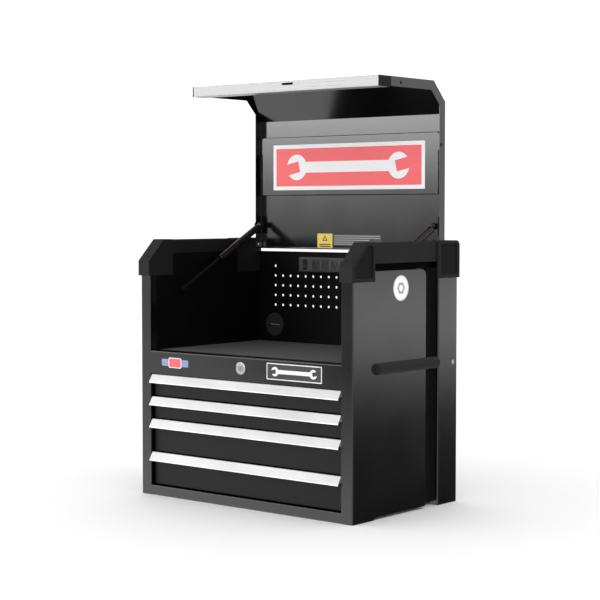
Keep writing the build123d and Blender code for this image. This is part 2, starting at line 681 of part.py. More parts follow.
def build_lid():
    half = sheet / 2
    front = front_y
    trim_top = lid_bottom + trim_height
    skin = [(lid_back - half, lid_top - lid_rear_flange), (lid_back - half, lid_top - half),
            (bevel_y, lid_top - half), (front + half, bevel_z), (front + half, trim_top)]
    shell = long_sheet(skin, -lid_x, lid_x)
    offset = lid_flange * math.tan(math.radians(22.5))
    ring = [(lid_back - 0.3, lid_top - lid_flange), (lid_back - 0.3, lid_top - 2),
            (lid_back - 2, lid_top - 0.3), (bevel_y + 1, lid_top - 0.3),
            (bevel_y - 1, lid_top - 1.1), (front + 1.1, bevel_z + 1), (front + 0.3, bevel_z - 1),
            (front + 0.3, trim_top), (front + lid_flange, trim_top),
            (front + lid_flange, bevel_z - offset), (bevel_y + offset, lid_top - lid_flange)]
    flange = side_plate(ring, lid_x - sheet, lid_x)
    flange -= bar((lid_x - 5, pivot_y, pivot_z), (lid_x + 5, pivot_y, pivot_z),
                  hinge_pin_radius + running_clear)
    hang_y = front + 13
    hang_z = trim_top + 38
    flange -= bar((lid_x - 5, hang_y, hang_z), (lid_x + 5, hang_y, hang_z), 4)
    shell = shell + both(flange)
    put("lid_shell", open_lid(shell))

    x = lid_x - plate_margin
    pan = slab(-x, x, plate_y0, plate_y1, plate_z, lid_top - sheet)
    pan = fillet(pan.faces().sort_by(Axis.Z)[0].edges(), 2)
    pan -= slab(-x + sheet, x - sheet, plate_y0 + sheet, plate_y1 - sheet,
                plate_z + sheet, lid_top)
    tab_y = plate_y0 + 4
    for end in (-1, 1):
        pan += slab(end * (x - 4), end * (lid_x - sheet), tab_y, tab_y + plate_tab,
                    plate_z, plate_z + sheet)
        pan += slab(end * (lid_x - 2 * sheet), end * (lid_x - sheet), tab_y, tab_y + plate_tab,
                    plate_z - 10, plate_z + sheet)
    put("lid_tool_plate", open_lid(pan), open_lid(lid_brace()))

    trim_x = lid_x - trim_end
    trim = slab(-trim_x, trim_x, front, front + trim_depth, lid_bottom, trim_top)
    trim = fillet(trim.edges().filter_by(Axis.X), 1.2)
    trim -= slab(-trim_x - 1, trim_x + 1, front + trim_wall, front + trim_depth - trim_wall,
                 lid_bottom + trim_wall, trim_top - trim_wall)
    trim -= slab(0.5, 35, hook_y - 2.6, hook_y + 2.6, lid_bottom - 1, lid_bottom + 3)
    put("lid_handle_trim", open_lid(trim))
    cap = slab(trim_x, lid_x, front, front + trim_depth, lid_bottom, trim_top)
    cap = fillet(cap.faces().sort_by(Axis.X)[-1].edges(), 1.2)
    put("lid_handle_end_caps", *[open_lid(piece) for piece in both(cap)])

    screw_y = tab_y + plate_tab * 0.7
    screw_z = plate_z - 5
    head = bar((lid_x, screw_y, screw_z), (lid_x + 1.8, screw_y, screw_z), lid_screw_radius)
    head = fillet(head.edges().sort_by(Axis.X)[-1], 1.2)
    put("lid_screws", *[open_lid(piece) for piece in both(head)])


def build_hinges():
    head = bar((lid_x - sheet - 3.5, pivot_y, pivot_z), (lid_x - sheet - 0.5, pivot_y, pivot_z), 7)
    head = fillet(head.edges().sort_by(Axis.X)[0], 1.5)
    shank = bar((lid_x - sheet - 0.5, pivot_y, pivot_z), (inner_x + 4, pivot_y, pivot_z),
                hinge_pin_radius)
    pins = both(head + shank)
    plate = slab(inner_x + sheet, inner_x + 4, pivot_y - 36, panel_y, pivot_z - 56, pivot_z + 10)
    plate -= bar((inner_x, pivot_y, pivot_z), (inner_x + 5, pivot_y, pivot_z), hinge_pin_radius)
    put("hinge_pins", *pins)
    put("hinge_plates", *both(plate))


# ---- gas struts ---------------------------------------------------------------------------
def strut_ends():
    """Ball centres at rest: on the case, and on the open lid."""
    low = Vector(strut_x, strut_low_y, strut_low_z)
    high = Vector(strut_x, pivot_y - strut_high_in, pivot_z + strut_high_out)
    return low, high


def socket(centre):
    """End fitting across the strut, centred on a ball."""
    half = socket_width / 2
    a = (centre.X - half, centre.Y, centre.Z)
    b = (centre.X + half, centre.Y, centre.Z)
    body = bar(a, b, socket_radius)
    return fillet(body.edges(), 2)


def build_struts():
    low, high = strut_ends()
    along = (high - low).normalized()
    shell_end = high - along * 15
    shell_start = shell_end - along * cylinder_length
    body = bar(shell_start, shell_end, cylinder_radius)
    body = fillet(body.edges(), 1.5)
    guide = shell_start + along * 12
    body -= bar(guide, shell_end - along * 3, cylinder_radius - 1.4)
    body -= bar(shell_start - along, guide + along, strut_rod_radius + running_clear)
    cylinder = body + bar(shell_end - along, high, 5) + socket(high)
    rod_end = shell_start + along * 18
    rod = bar(low, rod_end, strut_rod_radius) + socket(low)
    cylinders = both(cylinder)
    rods = both(rod)
    put("right_strut_cylinder", cylinders[0])
    put("left_strut_cylinder", cylinders[1])
    put("right_strut_rod", rods[0])
    put("left_strut_rod", rods[1])

    reach = strut_x + socket_width / 2 + stud_clear
    base = slab(inner_x - 2.5, inner_x, low.Y - 22, low.Y + 22, low.Z - 15, low.Z + 15)
    base = fillet(base.edges().filter_by(Axis.X), 5)
    stud = bar((reach, low.Y, low.Z), (inner_x - 2.5, low.Y, low.Z), stud_radius)
    put("strut_case_brackets", *both(base + stud))
    plate = slab(lid_x - sheet - 2, lid_x - sheet, high.Y - 3, high.Y + 14,
                 high.Z - 22, high.Z + 22)
    plate += bar((lid_x - sheet - 2, high.Y, high.Z), (lid_x - sheet, high.Y, high.Z), 8)
    stud = bar((reach, high.Y, high.Z), (lid_x - sheet - 2, high.Y, high.Z), stud_radius)
    put("strut_lid_brackets", *both(plate + stud))


def build_case_screws():
    y = back_y - 19
    z = grip_z - 9
    head = bar((side_x, y, z), (side_x + 1.8, y, z), case_screw_radius)
    put("case_screws", *both(fillet(head.edges().sort_by(Axis.X)[-1], 1)))


build_case()
build_handles()
build_drawers()
build_lock()
build_power()
build_grommet()
build_lid()
build_hinges()
build_struts()
build_case_screws()

os.makedirs("parts", exist_ok=True)
for name, solids in nodes.items():
    shape = solids[0] if len(solids) == 1 else Compound(children=solids)
    export_step(shape, f"parts/{name}.step")
print(len(nodes), "nodes written")
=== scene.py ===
"""Looks of the top tool chest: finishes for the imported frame, printed panels, mats and films.

Metres, in the frame of the CAD model: +Z up, front towards -Y, origin on the floor.
"""
import json
import math

import bmesh
import bpy
from mathutils import Matrix, Vector


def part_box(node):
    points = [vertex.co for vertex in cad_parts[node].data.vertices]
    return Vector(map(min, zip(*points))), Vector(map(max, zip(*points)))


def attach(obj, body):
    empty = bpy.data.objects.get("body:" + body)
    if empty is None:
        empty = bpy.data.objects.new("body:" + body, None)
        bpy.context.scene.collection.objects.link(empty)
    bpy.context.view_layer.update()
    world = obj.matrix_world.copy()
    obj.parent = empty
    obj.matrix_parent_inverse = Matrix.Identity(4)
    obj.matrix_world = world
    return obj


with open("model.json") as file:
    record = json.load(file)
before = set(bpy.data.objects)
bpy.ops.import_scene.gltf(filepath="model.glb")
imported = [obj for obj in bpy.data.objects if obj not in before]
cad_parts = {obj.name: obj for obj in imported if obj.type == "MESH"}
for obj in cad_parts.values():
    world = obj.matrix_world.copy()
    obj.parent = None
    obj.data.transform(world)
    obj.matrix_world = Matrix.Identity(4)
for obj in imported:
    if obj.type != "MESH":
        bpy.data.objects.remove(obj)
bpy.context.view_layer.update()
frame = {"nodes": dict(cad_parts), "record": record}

MM = 0.001
LABEL_FILM = 0.25 * MM       # printed vinyl
PRINT_LIFT = 0.06 * MM       # one printed colour over another

# ---- camera and light ---------------------------------------------------------------------
CAMERA_PLACE = (2.5188, -3.0069, 0.6950)
CAMERA_HEADING = 39.826      # degrees about +Z
CAMERA_DIP = 3.117           # degrees below the horizon
CAMERA_LENS = 97.19
SENSOR_WIDTH = 36.0
FLOOR_RADIUS = 30.0
OPEN_LEVEL = 0.88            # brightness of the surroundings in reflections
FRONT_STOPS = ((-35, 1.0), (-10.5, 1.75), (-7.2, 1.20), (-4.3, 0.98), (-2.3, 0.72), (0, 0.74),
               (1.0, 1.0), (1.8, 1.7), (2.6, 3.7), (3.4, 5.6), (12, 5.6), (20, 1.5),
               (38, 1.1), (51, 0.6), (85, 0.85))      # degrees up, brightness
REAR_STOPS = ((-40, 1.0), (-28, 0.9), (-16, 0.03), (-7.5, 0.04), (-6.4, 0.25), (-5.6, 0.8),
              (-3.8, 1.95), (-3.0, 1.65), (-2.2, 1.1), (-1, 0.85), (10, 1.0), (60, 0.85))
DARK_HEADING = (-0.469, -0.883, 0)
DARK_STOPS = ((-13, 0), (-10.5, 0.1), (-8.5, 0.4), (-6.5, 0.75), (-4.5, 1.0), (-2.0, 1.0),
              (-0.9, 0.5), (0, 0.12), (0.9, 0))       # degrees up, share taken away


# ---- finishes -----------------------------------------------------------------------------
class Graph:
    """Shader nodes of a material or a world."""

    nodes = None
    links = None

    def math(self, operation, first, second):
        made = self.nodes.new("ShaderNodeMath")
        made.operation = operation
        for socket, value in zip(made.inputs, (first, second)):
            if isinstance(value, bpy.types.NodeSocket):
                self.links.new(value, socket)
            else:
                socket.default_value = value
        return made.outputs["Value"]


class Tree(Graph):
    """Shader nodes of one material, with short calls for the patterns used here."""

    def __init__(self, name):
        self.material = bpy.data.materials.new(name)
        self.material.use_nodes = True
        self.nodes = self.material.node_tree.nodes
        self.links = self.material.node_tree.links
        self.shader = self.nodes["Principled BSDF"]
        self.place = self.add("ShaderNodeTexCoord").outputs["Object"]

    def add(self, kind, **values):
        """New node; each value is a constant or a socket for the input of that name."""
        made = self.nodes.new(kind)
        for key, value in values.items():
            socket = made.inputs[key.replace("_", " ")]
            if isinstance(value, bpy.types.NodeSocket):
                self.links.new(value, socket)
            else:
                socket.default_value = value
        return made

    def noise(self, scale, detail=2.0, stretch=None):
        """Noise from 0 to 1; stretch is the scale along each axis."""
        place = self.place
        if stretch:
            place = self.add("ShaderNodeMapping", Vector=place, Scale=stretch).outputs["Vector"]
        made = self.add("ShaderNodeTexNoise", Vector=place, Scale=scale, Detail=detail)
        return made.outputs["Fac"]

    def between(self, value, low, high, start=0.3, end=0.7):
        """Value from start to end mapped onto low to high."""
        made = self.add("ShaderNodeMapRange", Value=value)
        made.inputs["From Min"].default_value = start
        made.inputs["From Max"].default_value = end
        made.inputs["To Min"].default_value = low
        made.inputs["To Max"].default_value = high
        return made.outputs["Result"]

    def blend(self, factor, first, second):
        """Colour from first to second as factor goes from 0 to 1."""
        made = self.nodes.new("ShaderNodeMix")
        made.data_type = "RGBA"
        self.links.new(factor, made.inputs["Factor"])
        for socket, value in zip((made.inputs[6], made.inputs[7]), (first, second)):
            if isinstance(value, bpy.types.NodeSocket):
                self.links.new(value, socket)
            else:
                socket.default_value = (*value, 1.0)
        return made.outputs[2]

    def edges(self, radius):
        """Rounded normal near edges, and a mask that is 1 on them."""
        rounded = self.add("ShaderNodeBevel", Radius=radius)
        rounded.samples = 4
        flat = self.add("ShaderNodeNewGeometry").outputs["Normal"]
        dot = self.nodes.new("ShaderNodeVectorMath")
        dot.operation = "DOT_PRODUCT"
        self.links.new(rounded.outputs["Normal"], dot.inputs[0])
        self.links.new(flat, dot.inputs[1])
        return rounded.outputs["Normal"], self.between(dot.outputs["Value"], 1, 0, 0.80, 0.99)

    def bump(self, height, distance, normal=None):
        made = self.add("ShaderNodeBump", Height=height, Distance=distance, Strength=1.0)
        if normal:
            self.links.new(normal, made.inputs["Normal"])
        return made.outputs["Normal"]


def finish(name, dark, light, rough, metallic=0.0, specular=0.5, coat=0.0, grain=900.0,
           relief=0.02 * MM, stretch=None, edge=0.8 * MM, wear_and_highlight=None, blotch=7.0, sheen=0.0):
    """Procedural material: colour drifts from dark to light, roughness over its range, with a fine
    relief, rounded edges and, where an edge colour is given, that lighter colour laid in patches
    on the edges: partly rubbed wear, partly a painted highlight."""
    tree = Tree(name)
    shader = tree.shader
    shader.inputs["Metallic"].default_value = metallic
    shader.inputs["Specular IOR Level"].default_value = specular
    shader.inputs["Coat Weight"].default_value = coat
    shader.inputs["Coat Roughness"].default_value = 0.12
    shader.inputs["Sheen Weight"].default_value = sheen
    drift = tree.noise(blotch, 3.0)
    fine = tree.noise(1.0, 2.0, stretch) if stretch else tree.noise(grain, 2.0)
    mixed = tree.math("ADD", tree.math("MULTIPLY", drift, 0.6), tree.math("MULTIPLY", fine, 0.4))
    colour = tree.blend(tree.between(mixed, 0, 1), dark, light)
    normal, edge_mask = tree.edges(edge)
    # lighter colour on edges: partly rubbed wear, partly a painted highlight along the edges
    if wear_and_highlight:
        wear_and_highlight_mask = tree.math("MULTIPLY", edge_mask, tree.between(tree.noise(60.0, 4.0), 0, 0.8,
                                                              0.45, 0.75))
        colour = tree.blend(wear_and_highlight_mask, colour, wear_and_highlight)
    tree.links.new(colour, shader.inputs["Base Color"])
    tree.links.new(tree.between(mixed, rough[0], rough[1]), shader.inputs["Roughness"])
    tree.links.new(tree.bump(fine, relief, normal), shader.inputs["Normal"])
    return tree.material


def grey(value):
    return (value, value, value * 1.01)


BRUSHED_X = (7.0, 900.0, 900.0)       # brushing lines along X
BRUSHED_Y = (900.0, 7.0, 900.0)
# The edge colours given below are lighter than their paints: partly rubbed wear, partly a painted
# highlight on edges.
FINISHES = {
    "case_paint": finish("gloss_black_powder", grey(0.0025), grey(0.0045), (0.11, 0.17),
                         specular=0.7, wear_and_highlight=grey(0.03)),
    "lid_paint": finish("gloss_black_lid", grey(0.003), grey(0.005), (0.10, 0.15),
                        specular=1.0, wear_and_highlight=grey(0.03)),
    "drawer_paint": finish("satin_black_drawer", grey(0.004), grey(0.007), (0.42, 0.50),
                           specular=0.16, wear_and_highlight=grey(0.03)),
    "inner_paint": finish("matt_black_inside", grey(0.002), grey(0.0035), (0.46, 0.56),
                          specular=0.08),
    "pull_aluminium": finish("brushed_pull", grey(0.66), grey(0.78), (0.26, 0.44),
                             metallic=1.0, stretch=BRUSHED_X, relief=0.03 * MM, edge=0.4 * MM),
    "trim_aluminium": finish("brushed_trim", grey(0.34), grey(0.44), (0.24, 0.40),
                             metallic=0.25, stretch=BRUSHED_X, relief=0.02 * MM, edge=0.4 * MM),
    "cap_plastic": finish("grained_cap", grey(0.007), grey(0.013), (0.62, 0.78), specular=0.2,
                          grain=1400.0, relief=0.10 * MM, edge=1.2 * MM, wear_and_highlight=grey(0.035)),
    "slide_steel": finish("zinc_slide", (0.50, 0.51, 0.52), (0.68, 0.69, 0.68), (0.28, 0.45),
                          metallic=1.0, stretch=BRUSHED_Y, blotch=30.0),
    "hardware_steel": finish("zinc_hardware", (0.45, 0.46, 0.47), (0.66, 0.67, 0.66),
                             (0.25, 0.42), metallic=1.0, blotch=60.0, edge=0.3 * MM),
    "strut_black": finish("lacquered_strut", grey(0.004), grey(0.007), (0.18, 0.26),
                          specular=0.4, wear_and_highlight=grey(0.03)),
    "strut_rod": finish("nitrided_rod", grey(0.003), grey(0.005), (0.30, 0.40), specular=0.12,
                        blotch=20.0, relief=0.004 * MM),
    "lock_chrome": finish("polished_lock", grey(0.46), grey(0.66), (0.10, 0.20), metallic=1.0,
                          blotch=90.0, relief=0.006 * MM, edge=0.3 * MM),
    "strip_plastic": finish("grained_strip", grey(0.018), grey(0.028), (0.42, 0.55),
                            grain=1500.0, relief=0.08 * MM),
    "outlet_plastic": finish("smooth_outlet", grey(0.012), grey(0.018), (0.24, 0.34)),
    "switch_plastic": finish("smooth_switch", grey(0.016), grey(0.024), (0.18, 0.28)),
    "grip_rubber": finish("foam_grip", grey(0.006), grey(0.011), (0.66, 0.82), specular=0.2,
                          grain=1100.0, relief=0.20 * MM, sheen=0.05, edge=1.0 * MM),
    "grommet_rubber": finish("moulded_rubber", grey(0.012), grey(0.020), (0.55, 0.70),
                             specular=0.3, grain=1600.0, relief=0.08 * MM),
}
# Painted shade: a dark matt film over the side recess stands in for the shade in the recess.
RECESS_SHADE_FILM = finish("matt_recess_shade_film", grey(0.003), grey(0.005), (0.80, 0.90), specular=0.05,
                     grain=1200.0, relief=0.05 * MM)
# Painted shade: a darker film in the corner caps' recesses stands in for the shade inside them.
CAP_RECESS_SHADE = finish("cap_recess_painted_shade", grey(0.004), grey(0.007), (0.60, 0.70), specular=0.12,
                   grain=1400.0, relief=0.10 * MM)
TRAY_MAT = finish("foam_tray_mat", grey(0.030), grey(0.042), (0.82, 0.92), specular=0.15,
                  grain=1300.0, relief=0.10 * MM, blotch=3.0, sheen=0.1)
PRINTS = {
    "white": finish("print_white", grey(0.90), grey(0.95), (0.30, 0.40), relief=0.004 * MM),
    "red": finish("print_red", (0.88, 0.10, 0.115), (0.97, 0.145, 0.155), (0.34, 0.44),
                  relief=0.004 * MM),
    "yellow": finish("print_yellow", (0.80, 0.60, 0.09), (0.88, 0.68, 0.13), (0.34, 0.44),
                     relief=0.004 * MM),
    "blue": finish("print_blue", (0.20, 0.28, 0.50), (0.26, 0.35, 0.60), (0.34, 0.44),
                   relief=0.004 * MM),
    "black": finish("print_black", grey(0.012), grey(0.02), (0.30, 0.40), relief=0.004 * MM),
    "grey": finish("print_grey", grey(0.30), grey(0.38), (0.34, 0.44), relief=0.004 * MM),
    "silver": finish("print_silver", grey(0.66), grey(0.80), (0.26, 0.36), metallic=0.7,
                     relief=0.006 * MM),
}

HIDDEN_FROM_GLOSS = ("side_handle_grips", "handle_brackets")   # no mirror image in the panel

for row in frame["record"]["subparts"]:
    for entry in frame["nodes"][row["node"]].material_slots:
        entry.material = FINISHES[row["material_slot"]]
for node in HIDDEN_FROM_GLOSS:
    frame["nodes"][node].visible_glossy = False


# ---- mesh building ------------------------------------------------------------------------
def facing(centre, towards):
    """Placement whose local Z points out of a panel and whose local Y points up."""
    out = Vector(towards)
    side = Vector((0, 0, 1)).cross(out).normalized()
    up = out.cross(side)
    turn = Matrix((side, up, out)).transposed()
    return Matrix.Translation(centre) @ turn.to_4x4()


def piece(name, shape, place, material, body):
    """Object made of a bmesh, moved to its place and riding on a body."""
    bmesh.ops.transform(shape, matrix=place, verts=shape.verts)
    bmesh.ops.recalc_face_normals(shape, faces=shape.faces)
    mesh = bpy.data.meshes.new(name)
    shape.to_mesh(mesh)
    shape.free()
    mesh.materials.append(material)
    made = bpy.data.objects.new(name, mesh)
    bpy.context.scene.collection.objects.link(made)
    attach(made, body)
    return made


def rounded_outline(width, height, radius, steps=5):
    """Counter-clockwise outline of a rectangle with rounded corners."""
    points = []
    for corner in range(4):
        sign_x = 1 if corner in (0, 3) else -1
        sign_y = 1 if corner in (0, 1) else -1
        middle = Vector((sign_x * (width / 2 - radius), sign_y * (height / 2 - radius)))
        for step in range(steps + 1):
            angle = math.radians(90 * corner + 90 * step / steps)
            points.append(middle + radius * Vector((math.cos(angle), math.sin(angle))))
    return points


def raised(shape, outline, base, top, soften=0.0):
    """Prism over a flat outline, its upper rim softened."""
    low = [shape.verts.new((x, y, base)) for x, y in outline]
    face = shape.faces.new(low)
    grown = bmesh.ops.extrude_face_region(shape, geom=[face])
    verts = [item for item in grown["geom"] if isinstance(item, bmesh.types.BMVert)]
    bmesh.ops.translate(shape, verts=verts, vec=(0, 0, top - base))
    if soften:
        rim = [edge for edge in shape.edges if all(vert in verts for vert in edge.verts)]
        bmesh.ops.bevel(shape, geom=rim, offset=soften, segments=2, affect="EDGES")


def ring(shape, outer, inner, base, top):
    """Flat band between two outlines that have as many points."""
    count = len(outer)
    loops = []
    for outline, height in ((outer, base), (outer, top), (inner, top), (inner, base)):
        loops.append([shape.verts.new((x, y, height)) for x, y in outline])
    for loop, following in zip(loops, loops[1:] + loops[:1]):
        for index in range(count):
            after = (index + 1) % count
            shape.faces.new((loop[index], loop[after], following[after], following[index]))


def spanner_outline(length, jaw, opening):
    """Outline of a double open-ended spanner lying along X."""
    neck = jaw * 0.42
    reach = length / 2 - jaw
    slant = math.radians(12)
    half_angle = math.asin(opening / 2 / jaw)
    start = math.pi - math.asin(neck / jaw)
    end = []
    steps = 9
    for step in range(steps + 1):
        angle = -start + (start - half_angle + slant) * step / steps
        end.append((reach + jaw * math.cos(angle), jaw * math.sin(angle)))
    for depth, side in ((-0.25, -1), (-0.25, 1)):
        x = depth * jaw
        y = side * opening / 2
        end.append((reach + x * math.cos(slant) - y * math.sin(slant),
                    x * math.sin(slant) + y * math.cos(slant)))
    for step in range(steps + 1):
        angle = half_angle + slant + (start - half_angle - slant) * step / steps
        end.append((reach + jaw * math.cos(angle), jaw * math.sin(angle)))
    return [Vector(point) for point in end] + [Vector((-x, -y)) for x, y in end]


def polygon(sides, radius, turn=0.0, per_side=1):
    """Regular polygon with extra points along its sides."""
    corners = [radius * Vector((math.cos(a), math.sin(a))) for a in
               (turn + 2 * math.pi * index / sides for index in range(sides))]
    points = []
    for corner, following in zip(corners, corners[1:] + corners[:1]):
        points += [corner.lerp(following, step / per_side) for step in range(per_side)]
    return points


# ---- printed panels -----------------------------------------------------------------------
FRONT = (0, -1, 0)
RIGHT = (1, 0, 0)


def lid_sign():
    """White-framed red panel on the tool plate, with a spanner pictogram."""
    plate_stand = 8.6 * MM       # plate face off the lid skin
    sign_rise = 71.8 * MM        # sign middle above the plate's lower edge
    lo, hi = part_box("lid_tool_plate")
    width = 482 * MM
    height = 116.5 * MM
    border = 10 * MM
    middle = Vector((0, hi.y - plate_stand, lo.z + sign_rise))
    place = facing(middle, FRONT)
    shape = bmesh.new()
    raised(shape, rounded_outline(width, height, 1.5 * MM), 0, LABEL_FILM)
    piece("lid_sign_frame", shape, place, PRINTS["white"], "lid")
    field = rounded_outline(width - 2 * border, height - 2 * border, 1 * MM)
    shape = bmesh.new()
    raised(shape, field, LABEL_FILM, LABEL_FILM + PRINT_LIFT)
    piece("lid_sign_field", shape, place, PRINTS["red"], "lid")
    shape = bmesh.new()
    spanner = spanner_outline(390 * MM, 33 * MM, 28 * MM)
    raised(shape, spanner, LABEL_FILM, LABEL_FILM + 2 * PRINT_LIFT)
    piece("lid_sign_spanner", shape, place, PRINTS["white"], "lid")


def fascia_badge():
    """Silver-framed badge right of the lock."""
    lo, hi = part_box("lock_fascia")
    width = 164 * MM
    height = 38.5 * MM
    line = 2.4 * MM
    middle = Vector((160.5 * MM, lo.y, (lo.z + hi.z) / 2 + 1.0 * MM))
    place = facing(middle, FRONT)
    shape = bmesh.new()
    raised(shape, rounded_outline(width, height, 2 * MM), 0, LABEL_FILM)
    piece("fascia_badge_plate", shape, place, PRINTS["black"], "chest")
    shape = bmesh.new()
    ring(shape, rounded_outline(width, height, 2 * MM),
         rounded_outline(width - 2 * line, height - 2 * line, 0.8 * MM),
         LABEL_FILM, LABEL_FILM + 2 * PRINT_LIFT)
    piece("fascia_badge_line", shape, place, PRINTS["silver"], "chest")
    shape = bmesh.new()
    raised(shape, spanner_outline(136 * MM, 11 * MM, 9.5 * MM), LABEL_FILM,
           LABEL_FILM + 2 * PRINT_LIFT)
    piece("fascia_badge_spanner", shape, place, PRINTS["silver"], "chest")


def fascia_sticker():
    """Small two-colour sticker at the left of the fascia."""
    lo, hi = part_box("lock_fascia")
    place = facing(Vector((-215.5 * MM, lo.y, (lo.z + hi.z) / 2 + 1.5 * MM)), FRONT)
    shape = bmesh.new()
    raised(shape, rounded_outline(89 * MM, 17 * MM, 3 * MM), 0, LABEL_FILM)
    piece("fascia_sticker_band", shape, place, PRINTS["blue"], "chest")
    shape = bmesh.new()
    raised(shape, rounded_outline(43 * MM, 25 * MM, 5 * MM), 0, LABEL_FILM + PRINT_LIFT)
    piece("fascia_sticker_rim", shape, place, PRINTS["white"], "chest")
    shape = bmesh.new()
    raised(shape, rounded_outline(39 * MM, 21 * MM, 4 * MM), 0, LABEL_FILM + 2 * PRINT_LIFT)
    piece("fascia_sticker_middle", shape, place, PRINTS["red"], "chest")


def lid_notices():
    """Yellow sticker and a strip of plain rules low on the lid's inner face."""
    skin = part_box("lid_shell")[1].y - 1.2 * MM
    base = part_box("lid_shell")[0].z
    size = 49 * MM
    tall = 38 * MM
    place = facing(Vector((-76 * MM, skin, base + 20.6 * MM)), FRONT)
    shape = bmesh.new()
    raised(shape, rounded_outline(size, tall, 2 * MM), 0, LABEL_FILM)
    piece("lid_notice_film", shape, place, PRINTS["yellow"], "lid")
    shape = bmesh.new()
    up = math.pi / 2
    lifted = [point + Vector((0, 5.5 * MM)) for point in polygon(3, 10 * MM, up)]
    hollow = [point + Vector((0, 5.5 * MM)) for point in polygon(3, 5 * MM, up)]
    ring(shape, lifted, hollow, LABEL_FILM, LABEL_FILM + PRINT_LIFT)
    for low, wide in ((-8.5, 36), (-13.5, 36)):
        bar = [point + Vector((0, low * MM)) for point in rounded_outline(wide * MM, 3 * MM, MM)]
        raised(shape, bar, LABEL_FILM, LABEL_FILM + PRINT_LIFT)
    piece("lid_notice_marks", shape, place, PRINTS["black"], "lid")

    place = facing(Vector((27 * MM, skin, base + 23.7 * MM)), FRONT)
    shape = bmesh.new()
    raised(shape, rounded_outline(155 * MM, 29 * MM, 1 * MM), 0, LABEL_FILM)
    piece("lid_rules_film", shape, place, PRINTS["black"], "lid")
    shape = bmesh.new()
    for index, right in enumerate((73, 73, 40, 33, 20)):
        left = -73
        row = 10.5 - 5.2 * index
        rule = rounded_outline((right - left) * MM, 2.6 * MM, 0.8 * MM)
        shifted = [point + Vector(((right + left) / 2 * MM, row * MM)) for point in rule]
        raised(shape, shifted, LABEL_FILM, LABEL_FILM + PRINT_LIFT)
    piece("lid_rules_marks", shape, place, PRINTS["grey"], "lid")


def side_sticker():
    """Round white sticker on the right side panel."""
    place = facing(Vector((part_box("right_side_panel")[1].x, -22.3 * MM, 521 * MM)), RIGHT)
    disc = polygon(48, 29 * MM)
    shape = bmesh.new()
    raised(shape, disc, 0, LABEL_FILM)
    piece("side_sticker_film", shape, place, PRINTS["white"], "chest")
    shape = bmesh.new()
    ring(shape, polygon(48, 27 * MM), polygon(48, 26 * MM), LABEL_FILM,
         LABEL_FILM + PRINT_LIFT)
    nut = polygon(6, 15 * MM, 0, 8)
    ring(shape, nut, polygon(48, 7.5 * MM), LABEL_FILM, LABEL_FILM + PRINT_LIFT)
    piece("side_sticker_marks", shape, place, PRINTS["grey"], "chest")


# ---- sheet details ------------------------------------------------------------------------
def liner(name, x0, x1, y0, y1, z, body):
    """Ribbed rubber mat lying on a floor."""
    pitch = 6 * MM
    thick = 1.2 * MM
    rib = 0.7 * MM
    shape = bmesh.new()
    count = int((y1 - y0) / pitch)
    start = (y0 + y1 - count * pitch) / 2
    section = [(start, 0)]
    for index in range(count):
        y = start + index * pitch
        section += [(y, thick), (y + pitch * 0.55, thick), (y + pitch * 0.65, thick + rib),
                    (y + pitch * 0.9, thick + rib)]
    section += [(start + count * pitch, thick), (start + count * pitch, 0)]
    face = shape.faces.new([shape.verts.new((x0, y, z + height)) for y, height in section])
    grown = bmesh.ops.extrude_face_region(shape, geom=[face])
    verts = [item for item in grown["geom"] if isinstance(item, bmesh.types.BMVert)]
    bmesh.ops.translate(shape, verts=verts, vec=(x1 - x0, 0, 0))
    piece(name, shape, Matrix(), FINISHES["grommet_rubber"], body)


def liners():
    sheet = 1.0 * MM
    margin = 3 * MM
    front_inset = 4 * MM
    catch_depth = 16 * MM
    for number in range(1, 5):
        lo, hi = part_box(f"drawer_{number}_box")
        liner(f"drawer_{number}_liner", lo.x + margin, hi.x - margin, lo.y + front_inset,
              hi.y - catch_depth - front_inset, lo.z + sheet + 0.1 * MM, f"drawer_{number}")


def flat_piece(name, outline, x, thick, side, material):
    """Thin plate on a side face; outline is (y, z) pairs on the right side, mirrored left."""
    shape = bmesh.new()
    points = outline if side > 0 else outline[::-1]
    face = shape.faces.new([shape.verts.new((side * x, y, z)) for y, z in points])
    grown = bmesh.ops.extrude_face_region(shape, geom=[face])
    verts = [item for item in grown["geom"] if isinstance(item, bmesh.types.BMVert)]
    bmesh.ops.translate(shape, verts=verts, vec=(side * thick, 0, 0))
    piece(name, shape, Matrix(), material, "chest")


